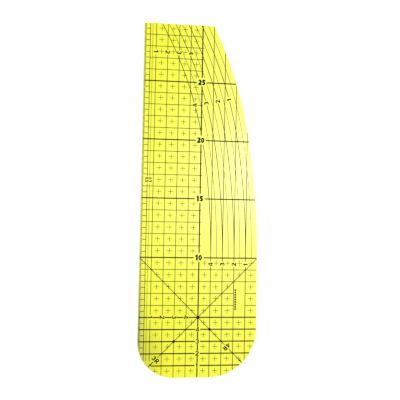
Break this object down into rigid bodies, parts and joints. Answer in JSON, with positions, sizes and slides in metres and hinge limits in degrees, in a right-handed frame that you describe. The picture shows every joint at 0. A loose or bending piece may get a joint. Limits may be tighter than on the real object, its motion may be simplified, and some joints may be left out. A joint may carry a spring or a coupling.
{
  "type": "curved pattern ruler",
  "caption": "Thin flexible pressing and pattern ruler: a flat rounded sheet with one straight edge, one hip-curve edge and printed measuring lines.",
  "frame": {"origin": "centre of the sheet's bounding box, on its underside", "axes": "+Y up the ruler's length to the square end, +X from the straight edge to the curved edge, +Z through the thickness to the printed face"},
  "size_m": [0.1, 0.3, 0.0008],
  "materials": {
    "yellow_sheet": "satin, bright lemon yellow",
    "black_ink": "screen-printed black"
  },
  "bodies": {
    "root": {"ruler_sheet": "yellow_sheet", "measuring_lines": "black_ink", "left_corner_arrow": "black_ink", "centre_line_below_1": "black_ink", "centre_line_below_2": "black_ink", "centre_line_below_3": "black_ink", "centre_line_below_4": "black_ink", "middle_row_line_after_1": "black_ink", "middle_row_line_after_2": "black_ink", "middle_row_line_after_3": "black_ink", "numeral_10_digit_1": "black_ink", "numeral_10_digit_0": "black_ink", "numeral_15_digit_1": "black_ink", "numeral_15_digit_5": "black_ink", "numeral_20_digit_2": "black_ink", "numeral_20_digit_0": "black_ink", "numeral_25_digit_2": "black_ink", "numeral_25_digit_5": "black_ink", "centre_numeral_1": "black_ink", "middle_row_numeral_1": "black_ink", "top_row_numeral_1": "black_ink", "right_row_numeral_1": "black_ink", "curve_numeral_1": "black_ink", "centre_numeral_2": "black_ink", "middle_row_numeral_2": "black_ink", "top_row_numeral_2": "black_ink", "right_row_numeral_2": "black_ink", "curve_numeral_2": "black_ink", "centre_numeral_3": "black_ink", "middle_row_numeral_3": "black_ink", "top_row_numeral_3": "black_ink", "right_row_numeral_3": "black_ink", "curve_numeral_3": "black_ink", "centre_numeral_4": "black_ink", "middle_row_numeral_4": "black_ink", "top_row_numeral_4": "black_ink", "right_row_numeral_4": "black_ink", "curve_numeral_4": "black_ink", "corner_label_3R_number": "black_ink", "corner_label_3R_letter": "black_ink", "corner_label_4R_number": "black_ink", "corner_label_4R_letter": "black_ink", "label_0.5_zero": "black_ink", "label_0.5_point": "black_ink", "label_0.5_five": "black_ink", "label_0.7_zero": "black_ink", "label_0.7_point": "black_ink", "label_0.7_seven": "black_ink"}
  },
  "joints": []
}
